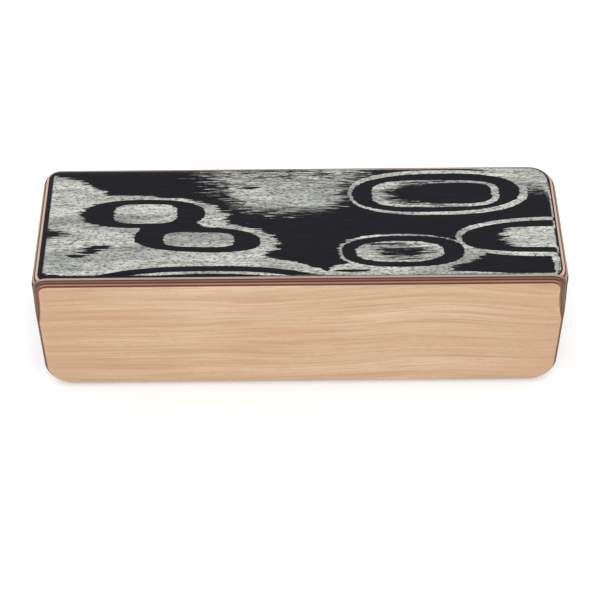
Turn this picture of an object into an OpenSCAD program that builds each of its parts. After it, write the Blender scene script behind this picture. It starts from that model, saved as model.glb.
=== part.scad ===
// Hand shaker: a sealed box of thin plywood panels with loose steel shot inside.
// The front and back plates cover the edges of the lid and floor, and these two cover the ends.
// The box is glued up square and rounded over afterwards, so every ply lies open along the edges.
// X runs along the box, Y from front to back, Z up. The origin is the middle of the underside.

/* [Box] */
// Length over the two ends
box_length = 150; // [130:1:170]
// Depth from the front face to the back face
box_depth = 47; // [43:0.5:54]
// Height from the underside to the top
box_height = 45.5; // [43:0.5:54]

/* [Rounding] */
// Radius of the four edges round the lid
lid_edge_r = 4.5; // [3.5:0.1:5]
// Radius of the other edges of the front and back faces
side_edge_r = 3; // [2:0.1:3.5]
// Radius of the two edges where the floor meets the ends
floor_end_r = 8; // [4:0.5:9]
// What sanding adds to the lid's edge radius at its front left corner, seen from above
front_left_soft = 0.3; // [0.2:0.1:4]
// The same at its front right corner
front_right_soft = 1; // [0.2:0.1:4]
// The same at its back left corner
back_left_soft = 0.8; // [0.2:0.1:4]
// The same at its back right corner
back_right_soft = 3.5; // [0.2:0.1:4]
// Height over which the lid's corners run out into the upright edges
corner_run_out = 14; // [8:1:25]

/* [Front and back plates] */
// Thickness of the beech face sheet
face_sheet = 0.7; // [0.5:0.05:0.9]
// Thickness of each thin ply behind the face sheet
thin_ply = 0.3; // [0.2:0.05:0.4]
// Thickness of the innermost ply
inner_ply = 0.5; // [0.4:0.05:0.7]

/* [Lid, floor and ends] */
// Thickness of the black and white figured sheet
figured_sheet = 0.8; // [0.6:0.05:1.2]
// Thickness of the pale ply that carries it
board_outer = 0.6; // [0.4:0.05:0.8]
// Thickness of the cross-grain ply in the middle of the board
board_core = 0.5; // [0.3:0.05:0.7]
// Thickness of the ply on the inside of the box
board_inner = 0.9; // [0.6:0.05:1.2]

/* [Shot] */
// Diameter of one steel ball
shot_d = 3.5; // [2.5:0.1:4]
// Spacing of the balls as they lie on the floor
shot_pitch = 4.8; // [4.5:0.1:5]
// Columns of balls along the box
shot_columns = 20; // [10:1:22]
// Rows of balls from front to back
shot_rows = 6; // [3:1:6]

/* [Hidden] */
$fn = 96;
front = -1;
back = 1;
floor_side = -1;
lid_side = 1;
left = -1;
right = 1;
// What a cutting slab stands out past the box
spare = 1;
// How far a corner's run-out ends clear of the upright edge
run_out_ease = 0.1;
// How far it starts outside the lid's corner, so that the two surfaces cross cleanly
run_out_step = 0.02;
// Air under a ball at rest
floor_gap = 0.1;
// Least air between two balls, shared by the uneven places they lie in
ball_gap = 0.2;

plate_layers = [face_sheet, thin_ply, thin_ply, thin_ply, thin_ply, thin_ply, inner_ply];
panel_layers = [figured_sheet, board_outer, board_core, board_inner];
plate_t = depth_of(plate_layers, len(plate_layers));
panel_t = depth_of(panel_layers, len(panel_layers));
// Half sizes of the room between the plates, and between lid and floor
half_between_plates = box_depth / 2 - plate_t;
half_between_lids = box_height / 2 - panel_t;
// Columns that only roll along the box, and the next that also sway across it
rolling_columns = 1;
swaying_columns = 1;
shot_stray = (shot_pitch - shot_d - ball_gap) / 2;

beech = "#dcbb98";
cross_grain = "#6f4330";
long_grain = "#a87f68";
pale_ply = "#c9b09c";
figured = "#3a3a40";
steel = "#b9bcc0";

// Depth below the outer face at which a layer begins
function depth_of(layers, index) = index == 0 ? 0 : layers[index - 1] + depth_of(layers, index - 1);

// A layer's outer side: the outermost one is left to the rounded box itself
function outer_side(layers, index) = index == 0 ? -spare : depth_of(layers, index);

// Radius of a corner of the lid, seen from above
function lid_corner_r(sx, sy) =
    lid_edge_r + (
        sx == left
            ? (sy == front ? front_left_soft : back_left_soft)
            : (sy == front ? front_right_soft : back_right_soft)
    );

// Where the upright axis of a lid corner's rounding stands
function lid_axis(sx, sy) = [
    sx * (box_length / 2 - lid_corner_r(sx, sy)),
    sy * (box_depth / 2 - lid_corner_r(sx, sy))
];

// Turn that points a quarter circle at a corner, given the side along X and the side along Y
function quarter_turn(sx, sy) = sx > 0 ? (sy > 0 ? 0 : 270) : (sy > 0 ? 90 : 180);

// A repeatable unevenness between -1 and 1, different for each ball
function uneven(column, row, turn) = sin(137.5 * column + 71 * row + turn);

// A quarter of a disc, in the quadrant of the two given sides
module quarter_disc(r, sx, sy) {
    intersection() {
        circle(r);
        translate([sx * r / 2, sy * r / 2])
            square(r, center = true);
    }
}

// A section drawn from the middle outwards, run along one side of the box
module along_side(turn, start, length) {
    rotate(turn)
        translate([0, -start, 0])
            rotate([90, 0, 0])
                linear_extrude(length)
                    children();
}

// Half section through the lid's rim: a flat top that ends in a quarter circle
module lid_section(flat) {
    square([flat, lid_edge_r]);
    translate([flat, 0])
        quarter_disc(lid_edge_r, 1, 1);
}

// The lid's rounded rim, standing on the walls
module lid_rim() {
    front_left = lid_axis(left, front);
    front_right = lid_axis(right, front);
    back_left = lid_axis(left, back);
    back_right = lid_axis(right, back);
    along_side(0, -back_right.y, back_right.y - front_right.y)
        lid_section(box_length / 2 - lid_edge_r);
    along_side(90, back_left.x, back_right.x - back_left.x)
        lid_section(box_depth / 2 - lid_edge_r);
    along_side(180, front_left.y, back_left.y - front_left.y)
        lid_section(box_length / 2 - lid_edge_r);
    along_side(270, -front_right.x, front_right.x - front_left.x)
        lid_section(box_depth / 2 - lid_edge_r);
    for (sx = [left, right], sy = [front, back])
        translate(lid_axis(sx, sy))
            rotate(quarter_turn(sx, sy))
                rotate_extrude(angle = 90)
                    lid_section(lid_corner_r(sx, sy) - lid_edge_r);
}

// What sanding takes off an upright edge where it runs out from a corner of the lid
module run_out_waste(sx, sy) {
    r = lid_corner_r(sx, sy);
    start = r + run_out_step;
    out = (r - side_edge_r) * (sqrt(2) - 1) + run_out_ease;
    sweep_r = (corner_run_out * corner_run_out + out * out) / (2 * out);
    translate(lid_axis(sx, sy))
        rotate(quarter_turn(sx, sy))
            rotate_extrude(angle = 90)
                intersection() {
                    translate([start + sweep_r, 0])
                        circle(sweep_r);
                    translate([start, -corner_run_out])
                        square([r, corner_run_out + spare]);
                }
}

// Half section through the tray: the depth of the box, with both outer corners rounded over
module tray_section(flat) {
    translate([flat / 2, 0])
        square([flat, box_depth], center = true);
    translate([flat + side_edge_r / 2, 0])
        square([side_edge_r, box_depth - 2 * side_edge_r], center = true);
    for (side = [front, back])
        translate([flat, side * (box_depth / 2 - side_edge_r)])
            quarter_disc(side_edge_r, 1, side);
}

// The walls and the floor, rounded over round the front and back faces, with round ends to the floor
module tray() {
    axis_x = box_length / 2 - floor_end_r;
    axis_z = floor_end_r - box_height / 2;
    wall_height = box_height - lid_edge_r - floor_end_r;
    rotate([90, 0, 0]) {
        along_side(0, -axis_z - wall_height, wall_height)
            tray_section(box_length / 2 - side_edge_r);
        along_side(180, axis_z, wall_height)
            tray_section(box_length / 2 - side_edge_r);
        along_side(270, -axis_x, 2 * axis_x)
            tray_section(box_height / 2 - side_edge_r);
        for (sx = [left, right])
            translate([sx * axis_x, axis_z])
                rotate(quarter_turn(sx, floor_side))
                    rotate_extrude(angle = 90)
                        tray_section(floor_end_r - side_edge_r);
    }
}

// The outside of the finished box, about its own middle
module rounded_box() {
    rim_base = box_height / 2 - lid_edge_r;
    difference() {
        tray();
        for (sx = [left, right], sy = [front, back])
            translate([0, 0, rim_base])
                run_out_waste(sx, sy);
    }
    translate([0, 0, rim_base])
        lid_rim();
}

// The part of the finished box between two corners of a slab, stood on the underside
module cut_from_box(low, high, flip) {
    translate([0, 0, box_height / 2])
        intersection() {
            rounded_box();
            mirror(flip)
                translate(low)
                    cube(high - low);
        }
}

// One layer of the front or back plate, which runs over the full length and height
module plate_layer(side, index) {
    outer = -box_depth / 2;
    low = [-box_length / 2 - spare, outer + outer_side(plate_layers, index), -box_height / 2 - spare];
    high = [box_length / 2 + spare, outer + depth_of(plate_layers, index + 1), box_height / 2 + spare];
    cut_from_box(low, high, [0, side == back ? 1 : 0, 0]);
}

// One layer of the lid or floor, which fits between the plates and covers the ends
module lid_layer(side, index) {
    outer = -box_height / 2;
    low = [-box_length / 2 - spare, -half_between_plates, outer + outer_side(panel_layers, index)];
    high = [box_length / 2 + spare, half_between_plates, outer + depth_of(panel_layers, index + 1)];
    cut_from_box(low, high, [0, 0, side == lid_side ? 1 : 0]);
}

// One layer of an end, which fits between the plates and between lid and floor
module end_layer(side, index) {
    outer = -box_length / 2;
    low = [outer + outer_side(panel_layers, index), -half_between_plates, -half_between_lids];
    high = [outer + depth_of(panel_layers, index + 1), half_between_plates, half_between_lids];
    cut_from_box(low, high, [side == right ? 1 : 0, 0, 0]);
}

// Steel balls in the given columns, lying loose in one layer on the floor
module shot(first, last) {
    color(steel)
        for (column = [first:last], row = [0:shot_rows - 1])
            translate([
                (column - (shot_columns - 1) / 2) * shot_pitch + shot_stray * uneven(column, row, 0),
                (row - (shot_rows - 1) / 2) * shot_pitch + shot_stray * uneven(column, row, 90),
                panel_t + floor_gap + shot_d / 2
            ])
                sphere(d = shot_d);
}

module front_face_sheet() color(beech) plate_layer(front, 0);
module front_cross_ply_a() color(cross_grain) plate_layer(front, 1);
module front_long_ply_a() color(long_grain) plate_layer(front, 2);
module front_cross_ply_b() color(cross_grain) plate_layer(front, 3);
module front_long_ply_b() color(long_grain) plate_layer(front, 4);
module front_cross_ply_c() color(cross_grain) plate_layer(front, 5);
module front_inner_ply() color(pale_ply) plate_layer(front, 6);

module back_face_sheet() color(beech) plate_layer(back, 0);
module back_cross_ply_a() color(cross_grain) plate_layer(back, 1);
module back_long_ply_a() color(long_grain) plate_layer(back, 2);
module back_cross_ply_b() color(cross_grain) plate_layer(back, 3);
module back_long_ply_b() color(long_grain) plate_layer(back, 4);
module back_cross_ply_c() color(cross_grain) plate_layer(back, 5);
module back_inner_ply() color(pale_ply) plate_layer(back, 6);

module lid_figured_sheet() color(figured) lid_layer(lid_side, 0);
module lid_outer_ply() color(pale_ply) lid_layer(lid_side, 1);
module lid_core_ply() color(cross_grain) lid_layer(lid_side, 2);
module lid_inner_ply() color(long_grain) lid_layer(lid_side, 3);

module floor_figured_sheet() color(figured) lid_layer(floor_side, 0);
module floor_outer_ply() color(pale_ply) lid_layer(floor_side, 1);
module floor_core_ply() color(cross_grain) lid_layer(floor_side, 2);
module floor_inner_ply() color(long_grain) lid_layer(floor_side, 3);

module left_figured_sheet() color(figured) end_layer(left, 0);
module left_outer_ply() color(pale_ply) end_layer(left, 1);
module left_core_ply() color(cross_grain) end_layer(left, 2);
module left_inner_ply() color(long_grain) end_layer(left, 3);

module right_figured_sheet() color(figured) end_layer(right, 0);
module right_outer_ply() color(pale_ply) end_layer(right, 1);
module right_core_ply() color(cross_grain) end_layer(right, 2);
module right_inner_ply() color(long_grain) end_layer(right, 3);

module shot_rolling() shot(0, rolling_columns - 1);
module shot_swaying() shot(rolling_columns, rolling_columns + swaying_columns - 1);
module shot_thrown() shot(rolling_columns + swaying_columns, shot_columns - 1);

front_face_sheet();
front_cross_ply_a();
front_long_ply_a();
front_cross_ply_b();
front_long_ply_b();
front_cross_ply_c();
front_inner_ply();
back_face_sheet();
back_cross_ply_a();
back_long_ply_a();
back_cross_ply_b();
back_long_ply_b();
back_cross_ply_c();
back_inner_ply();
lid_figured_sheet();
lid_outer_ply();
lid_core_ply();
lid_inner_ply();
floor_figured_sheet();
floor_outer_ply();
floor_core_ply();
floor_inner_ply();
left_figured_sheet();
left_outer_ply();
left_core_ply();
left_inner_ply();
right_figured_sheet();
right_outer_ply();
right_core_ply();
right_inner_ply();
shot_rolling();
shot_swaying();
shot_thrown();
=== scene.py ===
import math

import bpy
from mathutils import Matrix, Vector


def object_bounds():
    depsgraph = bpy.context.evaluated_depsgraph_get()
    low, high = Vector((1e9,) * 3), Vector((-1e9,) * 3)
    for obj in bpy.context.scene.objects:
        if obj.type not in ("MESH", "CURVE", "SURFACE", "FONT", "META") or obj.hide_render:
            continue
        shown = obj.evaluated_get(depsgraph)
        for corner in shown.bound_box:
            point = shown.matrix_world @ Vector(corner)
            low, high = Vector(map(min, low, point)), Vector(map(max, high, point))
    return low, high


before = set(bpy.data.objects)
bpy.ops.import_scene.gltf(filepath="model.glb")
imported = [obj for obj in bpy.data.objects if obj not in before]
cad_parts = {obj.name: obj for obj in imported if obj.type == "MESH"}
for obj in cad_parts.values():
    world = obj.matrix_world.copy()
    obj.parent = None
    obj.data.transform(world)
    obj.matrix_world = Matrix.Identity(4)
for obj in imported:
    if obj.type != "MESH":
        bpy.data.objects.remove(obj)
cad_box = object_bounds()


# Front and back face sheets: sliced beech, 0.7 mm thick, glued over the plies with its grain along the box.
# The box was rounded over after gluing, so each sheet thins out to nothing round its rim.
# A thin matt oil is its only finish, and the fine fibres of the beech still show.

MM_PER_METRE = 1000.0
ALONG, ACROSS, UP = 0, 1, 2


def shade(red, green, blue):
    """A colour as a screen shows it, 0 to 255, turned into linear light for a shader."""
    linear = []
    for part in (red, green, blue):
        part = part / 255
        linear.append(part / 12.92 if part <= 0.04045 else ((part + 0.055) / 1.055) ** 2.4)
    return (*linear, 1.0)


def fill(tree, inputs, values):
    """Sets each input to a value, or links it where the value is another node's output."""
    for socket, value in zip(inputs, values):
        if isinstance(value, bpy.types.NodeSocket):
            tree.links.new(value, socket)
        else:
            socket.default_value = value


def result(tree, operation, *values):
    """What a Math node makes of the values."""
    node = tree.nodes.new("ShaderNodeMath")
    node.operation = operation
    fill(tree, node.inputs, values)
    return node.outputs[0]


def vector_result(tree, operation, *values):
    """What a Vector Math node makes of the values."""
    node = tree.nodes.new("ShaderNodeVectorMath")
    node.operation = operation
    fill(tree, node.inputs, values)
    return node.outputs["Value" if operation in ("DOT_PRODUCT", "LENGTH") else "Vector"]


def joined(tree, x, y, z):
    """A vector from its three parts."""
    node = tree.nodes.new("ShaderNodeCombineXYZ")
    fill(tree, node.inputs, (x, y, z))
    return node.outputs[0]


def parts_of(tree, vector):
    """The three parts of a vector."""
    node = tree.nodes.new("ShaderNodeSeparateXYZ")
    fill(tree, node.inputs, (vector,))
    return node.outputs


def blended(tree, amount, first, second):
    """Two colours mixed by an amount from 0 to 1."""
    node = tree.nodes.new("ShaderNodeMix")
    node.data_type = "RGBA"
    fill(tree, (node.inputs["Factor"],), (amount,))
    fill(tree, [socket for socket in node.inputs if socket.type == "RGBA"], (first, second))
    return next(socket for socket in node.outputs if socket.type == "RGBA")


def stepped(tree, value, low, high, top=1.0):
    """0 below low, top above high, and a soft step between."""
    node = tree.nodes.new("ShaderNodeMapRange")
    node.interpolation_type = "SMOOTHSTEP"
    fill(tree, node.inputs, (value, low, high, 0.0, top))
    return node.outputs[0]


def new_group(name, inputs, outputs):
    """An empty shader group with named sockets: the tree, its inputs by name and its outputs by name."""
    tree = bpy.data.node_groups.new(name, "ShaderNodeTree")
    for socket, kind in inputs.items():
        tree.interface.new_socket(name=socket, in_out="INPUT", socket_type=kind)
    for socket, kind in outputs.items():
        tree.interface.new_socket(name=socket, in_out="OUTPUT", socket_type=kind)
    return tree, tree.nodes.new("NodeGroupInput").outputs, tree.nodes.new("NodeGroupOutput").inputs


def placed(tree, group, **values):
    """A group put into a tree with its own values. Returns its outputs by name."""
    node = tree.nodes.new("ShaderNodeGroup")
    node.node_tree = group
    for name, value in values.items():
        fill(tree, (node.inputs[name.capitalize()],), (value,))
    return node.outputs


NUMBER = "NodeSocketFloat"
ARROW = "NodeSocketVector"
COLOUR = "NodeSocketColor"

# Streaks of wood fibre: long along the grain, narrow across it
streaks, given, made = new_group(
    "wood_streaks",
    {"Place": ARROW, "Length": NUMBER, "Width": NUMBER, "Detail": NUMBER},
    {"Streak": NUMBER},
)
spread = joined(streaks, given["Length"], given["Width"], given["Width"])
fibres = streaks.nodes.new("ShaderNodeTexNoise")
fibres.inputs["Scale"].default_value = 1.0
fill(
    streaks,
    (fibres.inputs["Vector"], fibres.inputs["Detail"]),
    (vector_result(streaks, "DIVIDE", given["Place"], spread), given["Detail"]),
)
fill(streaks, (made["Streak"],), (fibres.outputs[0],))


def streak(tree, place, length, width, detail):
    """Wood streaks of a length and width in millimetres, from 0 to 1."""
    return placed(tree, streaks, place=place, length=length, width=width, detail=detail)["Streak"]


def grain_place(tree, axes, shift=(0.0, 0.0, 0.0)):
    """Millimetres along the grain, across it and through the sheet, taken from the object's own axes."""
    here = tree.nodes.new("ShaderNodeTexCoord").outputs["Object"]
    here = parts_of(tree, vector_result(tree, "MULTIPLY", here, (MM_PER_METRE,) * 3))
    return vector_result(tree, "ADD", joined(tree, *[here[axis] for axis in axes]), shift)


def new_material(name):
    """A new material: returns the material, its node tree and its shader's inputs."""
    material = bpy.data.materials.new(name)
    material.use_nodes = True
    return material, material.node_tree, material.node_tree.nodes["Principled BSDF"].inputs


RELIEF_METRES = 0.00005


def oiled(tree, shader, fibres, height, smooth, rougher, sheen, relief):
    """An oiled finish: rougher with the fibres, faintly shiny, and a height from 0 to 1 as fine relief."""
    fill(tree, (shader["Roughness"],), (result(tree, "MULTIPLY_ADD", fibres, rougher, smooth),))
    shader["Specular IOR Level"].default_value = sheen
    bumps = tree.nodes.new("ShaderNodeBump")
    bumps.inputs["Distance"].default_value = RELIEF_METRES
    bumps.inputs["Strength"].default_value = relief
    fill(tree, (bumps.inputs["Height"],), (height,))
    fill(tree, (shader["Normal"],), (bumps.outputs[0],))


def dress(node_name, material):
    """Gives a CAD node its material."""
    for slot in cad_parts[node_name].material_slots:
        slot.material = material


BEECH = shade(197, 167, 137)
BEECH_TAN = shade(180, 144, 112)
BEECH_PALE = shade(209, 181, 153)
BEECH_PINK = shade(187, 146, 118)
BEECH_PORE = shade(150, 108, 82)
# Streaks in the beech: length and width in millimetres, and how finely they are broken up
SWAY = (70.0, 18.0, 1.0)
GROWTH = (60.0, 1.0, 4.0)
LIGHT = (90.0, 4.0, 2.0)
BLUSH = (40.0, 2.2, 2.0)
FINE_FIBRE = (16.0, 0.3, 4.0)
PORES = (1.6, 0.2, 1.0)
# Where each streak starts to show, where it shows in full, and how much of its colour it then gives
LIGHT_SHOWS = (0.42, 0.66, 0.85)
GROWTH_SHOWS = (0.48, 0.68, 0.7)
BLUSH_SHOWS = (0.5, 0.72, 0.6)
FIBRE_SHOWS = (0.46, 0.68, 0.7)
PORES_SHOW = (0.6, 0.74, 0.35)
# How far the lines sway, and where and how high they swell over the knot, in millimetres
SWAY_RISE = 4.0
SWELL_X = 40.0
SWELL_LENGTH = 24.0
SWELL_RISE = 3.0
# Painted shade: the sheet is painted darker, towards tan, from here to there, in millimetres from its
# middle, and by how much, where the light falls off towards both ends of the box
ENDS_PAINTED_SHADE = (20.0, 85.0, 0.5)


def beech_face(name, shift):
    """Beech with faint growth lines that swell over a knot's shoulder, fine fibres and short pores."""
    material, tree, shader = new_material(name)
    place = grain_place(tree, (ALONG, UP, ACROSS), shift)
    along = parts_of(tree, place)[0]
    off_swell = result(tree, "DIVIDE", result(tree, "SUBTRACT", along, SWELL_X), SWELL_LENGTH)
    swell = result(tree, "EXPONENT", result(tree, "MULTIPLY", result(tree, "POWER", off_swell, 2.0), -1.0))
    sway = streak(tree, place, *SWAY)
    lift = result(tree, "MULTIPLY_ADD", swell, -SWELL_RISE, result(tree, "MULTIPLY", sway, SWAY_RISE))
    waved = vector_result(tree, "ADD", place, joined(tree, 0.0, lift, 0.0))
    growth = streak(tree, waved, *GROWTH)
    light = streak(tree, waved, *LIGHT)
    blush = streak(tree, waved, *BLUSH)
    fine = streak(tree, waved, *FINE_FIBRE)
    pores = streak(tree, place, *PORES)
    colour = blended(tree, stepped(tree, light, *LIGHT_SHOWS), BEECH, BEECH_PALE)
    colour = blended(tree, stepped(tree, growth, *GROWTH_SHOWS), colour, BEECH_TAN)
    # painted shade: the beech is painted darker, towards tan, near both ends of the box, where the light
    # falls off
    painted_end_shade = stepped(tree, result(tree, "ABSOLUTE", along), *ENDS_PAINTED_SHADE)
    colour = blended(tree, painted_end_shade, colour, BEECH_TAN)
    colour = blended(tree, stepped(tree, blush, *BLUSH_SHOWS), colour, BEECH_PINK)
    colour = blended(tree, stepped(tree, fine, *FIBRE_SHOWS), colour, BEECH_TAN)
    pore_mask = stepped(tree, pores, *PORES_SHOW)
    colour = blended(tree, pore_mask, colour, BEECH_PORE)
    fill(tree, (shader["Base Color"],), (colour,))
    height = result(tree, "SUBTRACT", fine, pore_mask)
    oiled(tree, shader, fine, height, smooth=0.5, rougher=0.15, sheen=0.2, relief=0.25)
    return material


dress("front_face_sheet", beech_face("beech_front", (0.0, 0.0, 0.0)))
dress("back_face_sheet", beech_face("beech_back", (-20.0, 40.0, 7.0)))


# The plies behind each face sheet: five of 0.3 mm, laid with their grain up and along by turns, and a pale
# one inside, all glued face to face. The rounded edge lays them open as thin lines, dark where a ply is cut
# across its fibres and lighter where it is cut along them.

# How squarely fibres meet a surface where it starts to look cut across, and where it fully does
CUT_SHOWS = (0.25, 0.75)

# How much of a surface is cut across the grain, from 0 to 1
end_grain, given, made = new_group("end_grain", {"Grain": ARROW}, {"Cut": NUMBER})
facing = end_grain.nodes.new("ShaderNodeTexCoord").outputs["Normal"]
across_fibres = vector_result(end_grain, "DOT_PRODUCT", facing, given["Grain"])
across_fibres = result(end_grain, "ABSOLUTE", across_fibres)
fill(end_grain, (made["Cut"],), (stepped(end_grain, across_fibres, *CUT_SHOWS),))

# Streaks in the plies: length and width in millimetres, and how finely they are broken up
PLY_FIBRE = (5.0, 0.22, 3.0)
PLY_PATCH = (16.0, 6.0, 2.0)
# How much the streaks shift a ply between its light and its dark colour
PLY_UNEVEN = 0.5


def ply(name, grain_axis, light, dark):
    """A thin ply that darkens where its fibres are cut across."""
    material, tree, shader = new_material(name)
    place = grain_place(tree, (grain_axis, (grain_axis + 1) % 3, (grain_axis + 2) % 3))
    fine = streak(tree, place, *PLY_FIBRE)
    patch = streak(tree, place, *PLY_PATCH)
    grain = [0.0, 0.0, 0.0]
    grain[grain_axis] = 1.0
    cut = placed(tree, end_grain, grain=grain)["Cut"]
    uneven = result(tree, "MULTIPLY_ADD", result(tree, "ADD", fine, patch), PLY_UNEVEN, -PLY_UNEVEN)
    colour = blended(tree, result(tree, "ADD", cut, uneven), light, dark)
    fill(tree, (shader["Base Color"],), (colour,))
    oiled(tree, shader, fine, fine, smooth=0.5, rougher=0.2, sheen=0.2, relief=0.3)
    return material


PLY_DARK = shade(74, 42, 30)
PLY_BROWN = shade(124, 86, 70)
PLY_PINK = shade(152, 110, 94)
INNER_LIGHT = shade(168, 146, 133)
INNER_DARK = shade(122, 94, 80)

cross_ply = ply("cross_grain_ply", UP, PLY_BROWN, PLY_DARK)
long_ply_a = ply("long_grain_ply_a", ALONG, PLY_PINK, PLY_DARK)
long_ply_b = ply("long_grain_ply_b", ALONG, PLY_BROWN, PLY_DARK)
inner_ply = ply("plate_inner_ply", ALONG, INNER_LIGHT, INNER_DARK)
for plate in ("front", "back"):
    for letter in "abc":
        dress(f"{plate}_cross_ply_{letter}", cross_ply)
    dress(f"{plate}_long_ply_a", long_ply_a)
    dress(f"{plate}_long_ply_b", long_ply_b)
    dress(f"{plate}_inner_ply", inner_ply)


# The boards of the lid, floor and ends: three plies each, a pale one, a brown one and a thicker tan one
# inside. They are glued in between the two plates, and the lid and the floor cover the ends, so only the
# rims of those two come to the light.

BOARD_PALE = shade(198, 170, 146)
BOARD_TAN = shade(170, 138, 116)
BOARD_BROWN = shade(138, 104, 84)
BOARD_DARK = shade(118, 80, 62)

board_outer = ply("board_outer_ply", ACROSS, BOARD_PALE, BOARD_DARK)
board_core = ply("board_core_ply", ALONG, BOARD_BROWN, PLY_DARK)
board_inner = ply("board_inner_ply", ACROSS, BOARD_TAN, BOARD_DARK)
for panel in ("lid", "floor", "left", "right"):
    dress(f"{panel}_outer_ply", board_outer)
    dress(f"{panel}_core_ply", board_core)
    dress(f"{panel}_inner_ply", board_inner)


# The figured sheets on the lid, floor and ends: black and pale veneers, dyed right through, pressed together
# over a bumpy mould and sliced flat, so each bump shows as rings. They are glued to the boards, sanded and
# oiled. Where the rounded edge cuts deeper the next veneer comes through, and at last the black bottom one.

# How many veneers the rounded edge cuts through in each millimetre of depth, and at most
VENEERS_PER_MM = 1.6
DEEPEST_VENEER = 4.0
# How deep the black bottom veneer lies at the two ends of the box, and how soft its edge is, in millimetres
BOTTOM_LEFT = 0.12
BOTTOM_RIGHT = 0.5
BOTTOM_BLUR = 0.05
# How squarely a ring turns at its ends
ROUND, SQUARISH, BOXY = 2.4, 3.6, 6.0
# How an outline is cut: veneers per millimetre across it, how far its fibres are torn along the grain in
# millimetres, and how deep they are torn in veneers
SHARP = (2.5, 0.5, 0.15)
CRISP = (1.0, 1.4, 0.25)
TORN = (0.8, 3.0, 0.4)
SOFT = (0.4, 2.0, 0.4)
FEATHERED = (0.16, 3.5, 0.7)
STREAKY = (0.06, 4.0, 0.8)
# How softly neighbouring bumps flow together, in veneers
MELT = 0.2
# Streaks in the veneers: length and width in millimetres, and how finely they are broken up
VENEER_FIBRE = (6.0, 0.22, 4.0)
VENEER_TEAR = (9.0, 0.55, 4.0)
VENEER_CLOUD = (14.0, 1.6, 4.0)
VENEER_BROAD = (24.0, 4.8, 3.0)
VENEER_DASH = (1.0, 0.24, 3.0)
VENEER_LINE = (6.0, 0.3, 3.0)
# Where each streak starts to show, where it shows in full, and how much of its colour it then gives
CLOUD_SHOWS = (0.35, 0.7, 1.0)
BROAD_SHOWS = (0.44, 0.7, 0.6)
LINE_SHOWS = (0.48, 0.72, 0.4)
DASH_SHOWS = (0.47, 0.64, 0.85)
CHAR_SHOWS = (0.5, 0.8, 1.0)
# How far into a pale veneer the black gives way, in veneers
PALE_SHOWS = (0.34, 0.66)
# How strongly the streaks tear an outline
TEAR_SPREAD = 4.0

# Keeps the middle of a bump from being divided by nothing, as a share of its reach
NEAR_CENTRE = 0.01
# One bump of the mould: how far a place lies inside its outline, in veneers
bump, given, made = new_group(
    "mould_bump",
    {
        "Place": ARROW,
        "Centre": ARROW,
        "Length": NUMBER,
        "Width": NUMBER,
        "Tilt": NUMBER,
        "Square": NUMBER,
        "Bow": NUMBER,
        "Slope": NUMBER,
        "Torn_along": NUMBER,
        "Torn_deep": NUMBER,
        "Tear": NUMBER,
        "Fibre": NUMBER,
    },
    {"Rise": NUMBER},
)
turn = bump.nodes.new("ShaderNodeVectorRotate")
turn.rotation_type = "Z_AXIS"
pulled = joined(bump, result(bump, "MULTIPLY", given["Tear"], given["Torn_along"]), 0.0, 0.0)
torn_place = vector_result(bump, "ADD", given["Place"], pulled)
from_centre = vector_result(bump, "SUBTRACT", torn_place, given["Centre"])
fill(bump, (turn.inputs["Vector"], turn.inputs["Angle"]), (from_centre, given["Tilt"]))
offset = parts_of(bump, turn.outputs[0])
lengthwise = result(bump, "ABSOLUTE", result(bump, "DIVIDE", offset[0], given["Length"]))
bend = result(bump, "MULTIPLY", result(bump, "POWER", lengthwise, 2.0), given["Bow"])
crosswise = result(bump, "DIVIDE", result(bump, "SUBTRACT", offset[1], bend), given["Width"])
crosswise = result(bump, "ABSOLUTE", crosswise)
powers = [result(bump, "POWER", side, given["Square"]) for side in (lengthwise, crosswise)]
outline = result(bump, "POWER", result(bump, "ADD", *powers), result(bump, "DIVIDE", 1.0, given["Square"]))
outline = result(bump, "MAXIMUM", outline, NEAR_CENTRE)
inside = result(bump, "SUBTRACT", result(bump, "DIVIDE", 1.0, outline), 1.0)
flat_offset = joined(bump, offset[0], offset[1], 0.0)
inside = result(bump, "MULTIPLY", inside, vector_result(bump, "LENGTH", flat_offset))
torn = result(bump, "MULTIPLY", given["Fibre"], given["Torn_deep"])
fill(bump, (made["Rise"],), (result(bump, "MULTIPLY_ADD", inside, given["Slope"], torn),))

VENEER_BLACK = shade(19, 19, 25)
VENEER_CHAR = shade(30, 30, 37)
VENEER_PALE = shade(212, 214, 205)
VENEER_GREY = shade(172, 174, 166)
VENEER_SHADE = shade(112, 115, 117)
VENEER_FLECK = shade(70, 70, 70)

# The number of veneers cut through turned into their dyed colours
dyed, given, made = new_group(
    "dyed_veneers",
    {"Place": ARROW, "Level": NUMBER, "Bottom": NUMBER},
    {"Colour": COLOUR},
)
# odd veneers are pale and even ones black
pale = stepped(dyed, result(dyed, "PINGPONG", given["Level"], 1.0), *PALE_SHOWS)
pale = result(dyed, "MULTIPLY", pale, result(dyed, "SUBTRACT", 1.0, given["Bottom"]))
cloud = streak(dyed, given["Place"], *VENEER_CLOUD)
broad = streak(dyed, given["Place"], *VENEER_BROAD)
dash = streak(dyed, given["Place"], *VENEER_DASH)
line = streak(dyed, given["Place"], *VENEER_LINE)
pale_colour = blended(dyed, stepped(dyed, cloud, *CLOUD_SHOWS), VENEER_PALE, VENEER_GREY)
pale_colour = blended(dyed, stepped(dyed, broad, *BROAD_SHOWS), pale_colour, VENEER_SHADE)
pale_colour = blended(dyed, stepped(dyed, line, *LINE_SHOWS), pale_colour, VENEER_FLECK)
pale_colour = blended(dyed, stepped(dyed, dash, *DASH_SHOWS), pale_colour, VENEER_FLECK)
black_colour = blended(dyed, stepped(dyed, line, *CHAR_SHOWS), VENEER_BLACK, VENEER_CHAR)
fill(dyed, (made["Colour"],), (blended(dyed, pale, black_colour, pale_colour),))


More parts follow.
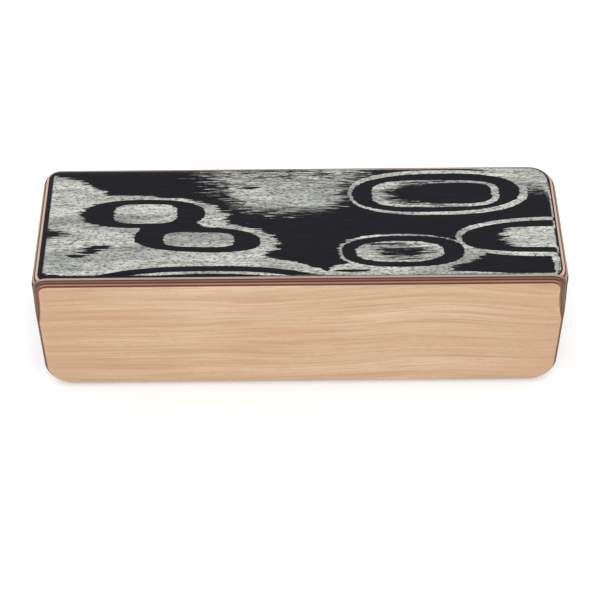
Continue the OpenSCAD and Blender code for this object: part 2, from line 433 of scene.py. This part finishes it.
def oval(veneer, centre, reach, cut=CRISP, tilt=0.0, square=ROUND, bow=0.0):
    """One outline of the figure: the veneer it opens, its middle and its half length and width in mm."""
    length, width = reach
    slope, torn_along, torn_deep = cut
    form = {
        "centre": (*centre, 0.0),
        "length": length,
        "width": width,
        "tilt": -math.radians(tilt),
        "square": square,
        "bow": bow,
        "slope": slope,
        "torn_along": torn_along,
        "torn_deep": torn_deep,
    }
    return veneer, form


low, high = cad_box
half_length = high[0] * MM_PER_METRE
lid_face = high[2] * MM_PER_METRE


def figured_sheet(name, figure, axes, face, shift):
    """A figured veneer from its ovals, on a face at a place along the last axis, with its fibres shifted."""
    material, tree, shader = new_material(name)
    place = grain_place(tree, axes)
    fibre_place = vector_result(tree, "ADD", place, shift)
    fibre = streak(tree, fibre_place, *VENEER_FIBRE)
    tear = streak(tree, fibre_place, *VENEER_TEAR)
    # streaks lie near a half, and are spread out evenly round nothing
    spread_fibre = result(tree, "MULTIPLY_ADD", fibre, TEAR_SPREAD, -TEAR_SPREAD / 2)
    spread_tear = result(tree, "MULTIPLY_ADD", tear, TEAR_SPREAD, -TEAR_SPREAD / 2)
    level = 0.0
    under = 1.0
    for veneer in sorted({each for each, _ in figure}):
        rise = None
        for form in [form for each, form in figure if each == veneer]:
            other = placed(tree, bump, place=place, fibre=spread_fibre, tear=spread_tear, **form)["Rise"]
            rise = other if rise is None else result(tree, "SMOOTH_MAX", rise, other, MELT)
        # a veneer is half cut through at its outline
        opened = result(tree, "MAXIMUM", result(tree, "ADD", rise, 0.5), 0.0)
        under = result(tree, "MINIMUM", opened, under)
        level = result(tree, "ADD", under, level)
    along, _, height = parts_of(tree, place)
    depth = result(tree, "ABSOLUTE", result(tree, "SUBTRACT", height, face))
    level = result(tree, "MULTIPLY_ADD", depth, VENEERS_PER_MM, level)
    level = result(tree, "MINIMUM", level, DEEPEST_VENEER)
    bottom = stepped(tree, along, -half_length, half_length, BOTTOM_RIGHT - BOTTOM_LEFT)
    below = result(tree, "SUBTRACT", result(tree, "SUBTRACT", depth, bottom), BOTTOM_LEFT)
    bottom_mask = stepped(tree, below, -BOTTOM_BLUR, BOTTOM_BLUR)
    colour = placed(tree, dyed, place=fibre_place, level=level, bottom=bottom_mask)["Colour"]
    fill(tree, (shader["Base Color"],), (colour,))
    oiled(tree, shader, fibre, fibre, smooth=0.42, rougher=0.2, sheen=0.1, relief=0.25)
    return material


LID_FIGURE = [
    # pale ground at the left end and along the front
    oval(1, (-79, 0), (26, 19), TORN),
    oval(1, (-46, -11.5), (37, 9.5), TORN),
    oval(1, (-6, -18.5), (16, 3.6), tilt=-14),
    oval(1, (20, -21.7), (42, 2.2)),
    # two joined rings at the left
    oval(1, (-43.5, 3), (22.8, 7.1), TORN, tilt=-5),
    oval(1, (-27.5, -7), (21, 6.4), TORN, tilt=-5),
    oval(2, (-44.3, 3.2), (17.3, 5.6), SHARP),
    oval(2, (-51, 3.1), (11.5, 4.8), SOFT),
    oval(2, (-29, -6.9), (18, 4.9), SHARP, tilt=-3.5),
    oval(2, (-36.8, -2.2), (9, 3), CRISP),
    oval(3, (-44, 3.2), (9, 3.8), SHARP, square=SQUARISH),
    oval(3, (-28.5, -7), (10, 2.8), SHARP, tilt=-2, square=SQUARISH),
    # pale patch at the back
    oval(1, (-3.5, 13), (15.5, 8.8), FEATHERED, square=SQUARISH),
    oval(1, (-5, 19), (15, 6), STREAKY, tilt=-8),
    oval(2, (-16.5, 13.2), (4.5, 0.7), SOFT),
    oval(2, (-9, 27), (30, 9), STREAKY),
    # long rings at the back right
    oval(1, (40, 10.8), (26, 9), SHARP, tilt=0.5),
    oval(2, (39.4, 10.7), (24.3, 7.7), SHARP, tilt=1.3),
    oval(3, (39.3, 10.3), (18.3, 5.3), SHARP, square=SQUARISH),
    oval(4, (44.5, 10.4), (11, 4.2), SHARP, square=SQUARISH),
    oval(4, (37.5, 10.4), (13, 4.4), FEATHERED),
    oval(1, (69, 19), (14, 7), FEATHERED, tilt=-12),
    # rings at the front right
    oval(1, (28.6, -12.3), (17.7, 6.7), CRISP, tilt=-1),
    oval(2, (28.9, -12.1), (17.2, 5.9), SHARP),
    oval(3, (27.9, -12.2), (12.4, 3.9), SHARP),
    oval(4, (28.6, -12.3), (7.3, 2.2), FEATHERED),
    oval(4, (24, -9.3), (6, 0.35), SHARP),
    oval(1, (25, -19), (17, 3)),
    oval(1, (42.5, -14.2), (9.5, 3.6), TORN, tilt=18),
    oval(2, (14.5, -19.2), (5, 0.45), SHARP),
    # rings cut off by the right end
    oval(1, (75, -6.8), (31, 7.6), SHARP, tilt=1),
    oval(2, (75, -6.7), (29.4, 6.2), SHARP, bow=-1),
    oval(3, (75, -7), (17.3, 3.9), TORN, square=BOXY),
    oval(1, (71.4, -15), (0.9, 5.4), SHARP),
    # rings cut off by the front edge
    oval(1, (-26.5, -45.5), (58, 29.5), SHARP),
    oval(2, (-52, -24), (23, 3.5), SHARP),
    oval(2, (-26.5, -45), (53, 28), SHARP),
    oval(3, (-26.5, -47), (53, 28), SHARP),
    oval(4, (-26.5, -47.9), (53, 28), SHARP),
    # dark streaks in the pale ground
    oval(2, (-56.5, -9.8), (4.5, 0.7), TORN, tilt=4),
    oval(2, (-58.5, -11.2), (3.5, 0.8), TORN, tilt=4),
    oval(2, (-62.5, -13), (3.5, 0.6), TORN),
    oval(2, (-74, -4.4), (8, 1.6), FEATHERED),
]
FLOOR_FIGURE = [
    oval(1, (-50, 8), (30, 9), TORN, tilt=4),
    oval(1, (34, -6), (34, 11), CRISP, tilt=-3),
    oval(1, (66, 15), (22, 7), FEATHERED),
    oval(1, (-20, -16), (30, 6), FEATHERED, tilt=-2),
    oval(2, (-48, 8), (21, 6), SHARP, tilt=3),
    oval(2, (34, -6), (27, 8), SHARP, tilt=-3),
    oval(3, (-47, 8), (12, 3.6), CRISP, tilt=3),
    oval(3, (33, -6), (19, 5.4), SHARP, tilt=-3),
    oval(4, (34, -6), (11, 2.8), FEATHERED, tilt=-3),
]
END_FIGURE = [
    oval(1, (8, 44), (21, 7), SOFT),
    oval(1, (-4, 27), (17, 8), CRISP, tilt=5),
    oval(1, (12, 9), (20, 7), SOFT, tilt=-4),
    oval(2, (-4, 27), (12.5, 5.5), SHARP, tilt=5),
    oval(2, (14, 9), (13, 4), SHARP, tilt=-4),
    oval(3, (-4, 27), (7, 3), CRISP, tilt=5),
]

LYING = (ALONG, ACROSS, UP)
STANDING = (ACROSS, UP, ALONG)
for panel, figure, axes, face, shift in (
    ("lid", LID_FIGURE, LYING, lid_face, (0.0, 0.0, 0.0)),
    ("floor", FLOOR_FIGURE, LYING, 0.0, (90.0, 30.0, 0.0)),
    ("right", END_FIGURE, STANDING, half_length, (40.0, 5.0, 0.0)),
    ("left", END_FIGURE, STANDING, -half_length, (70.0, 9.0, 0.0)),
):
    dress(f"{panel}_figured_sheet", figured_sheet(f"figured_{panel}", figure, axes, face, shift))


# The filling: loose steel balls of 3.5 mm, rolled and tumbled bright. They lie on the floor board, out of
# sight, and strike the walls when the box is shaken.

STEEL_BRIGHT = shade(196, 198, 202)
STEEL_DULL = shade(150, 152, 157)
STEEL_SMOOTH = 0.12
STEEL_ROUGHER = 0.25
SCUFFS_PER_METRE = 2400.0
SCUFF_DETAIL = 3.0

steel, tree, shader = new_material("steel_shot")
scuff = tree.nodes.new("ShaderNodeTexNoise")
scuff.inputs["Scale"].default_value = SCUFFS_PER_METRE
scuff.inputs["Detail"].default_value = SCUFF_DETAIL
fill(tree, (scuff.inputs["Vector"],), (tree.nodes.new("ShaderNodeTexCoord").outputs["Object"],))
bright = blended(tree, scuff.outputs[0], STEEL_BRIGHT, STEEL_DULL)
fill(tree, (shader["Base Color"],), (bright,))
roughness = result(tree, "MULTIPLY_ADD", scuff.outputs[0], STEEL_ROUGHER, STEEL_SMOOTH)
fill(tree, (shader["Roughness"],), (roughness,))
shader["Metallic"].default_value = 1.0
for part in ("shot_rolling", "shot_swaying", "shot_thrown"):
    dress(part, steel)


# The studio: a faintly lit white floor in an even white room, with one broad soft lamp above the front.
# The camera stands before the middle of the box and looks down on it at about 48 degrees, with a long lens.

FLOOR_HALF = 3.0
FLOOR_WHITE = 0.96
FLOOR_ROUGH = 0.9
FLOOR_GLOW = 0.15
ROOM_LIGHT = 1.1
LAMP_PLACE = (0.0, -0.7, 0.8)
LAMP_SIZE = 0.6
LAMP_WATTS = 1.5

mesh = bpy.data.meshes.new("studio_floor")
corners = [(-FLOOR_HALF, -FLOOR_HALF, 0), (FLOOR_HALF, -FLOOR_HALF, 0)]
corners += [(FLOOR_HALF, FLOOR_HALF, 0), (-FLOOR_HALF, FLOOR_HALF, 0)]
mesh.from_pydata(corners, [], [(0, 1, 2, 3)])
floor = bpy.data.objects.new("studio_floor", mesh)
bpy.context.scene.collection.objects.link(floor)
pale_floor, _, floor_shader = new_material("studio_floor")
floor_shader["Base Color"].default_value = (FLOOR_WHITE, FLOOR_WHITE, FLOOR_WHITE, 1.0)
floor_shader["Roughness"].default_value = FLOOR_ROUGH
floor_shader["Emission Color"].default_value = (1.0, 1.0, 1.0, 1.0)
floor_shader["Emission Strength"].default_value = FLOOR_GLOW
mesh.materials.append(pale_floor)

scene = bpy.context.scene
scene.view_settings.view_transform = "Standard"
world = bpy.data.worlds.new("studio")
world.use_nodes = True
world.node_tree.nodes["Background"].inputs["Color"].default_value = (1.0, 1.0, 1.0, 1.0)
world.node_tree.nodes["Background"].inputs["Strength"].default_value = ROOM_LIGHT
scene.world = world

middle = (low + high) / 2
lamp_data = bpy.data.lights.new("key_lamp", "AREA")
lamp_data.size = LAMP_SIZE
lamp_data.energy = LAMP_WATTS
lamp = bpy.data.objects.new("key_lamp", lamp_data)
scene.collection.objects.link(lamp)
lamp.location = LAMP_PLACE
lamp.rotation_euler = (middle - Vector(LAMP_PLACE)).to_track_quat("-Z", "Y").to_euler()

# Distance in metres, lens in millimetres, and the shift as a share of the picture
CAMERA_DISTANCE = 0.4995
CAMERA_RISE = math.radians(48.407)
CAMERA_SWING = math.radians(-0.29)
CAMERA_ROLL = math.radians(-0.304)
CAMERA_LENS = 101.65
PHOTO_SHIFT = -0.0439

camera_data = bpy.data.cameras.new("camera")
camera_data.lens = CAMERA_LENS
camera_data.shift_y = PHOTO_SHIFT
camera = bpy.data.objects.new("camera", camera_data)
scene.collection.objects.link(camera)
toward = Vector((
    math.cos(CAMERA_RISE) * math.sin(CAMERA_SWING),
    -math.cos(CAMERA_RISE) * math.cos(CAMERA_SWING),
    math.sin(CAMERA_RISE),
))
rightward = Vector((math.cos(CAMERA_SWING), math.sin(CAMERA_SWING), 0.0))
facing_camera = Matrix((rightward, toward.cross(rightward), toward)).transposed()
camera.matrix_world = (
    Matrix.Translation(middle + toward * CAMERA_DISTANCE)
    @ facing_camera.to_4x4()
    @ Matrix.Rotation(CAMERA_ROLL, 4, "Z")
)
scene.camera = camera
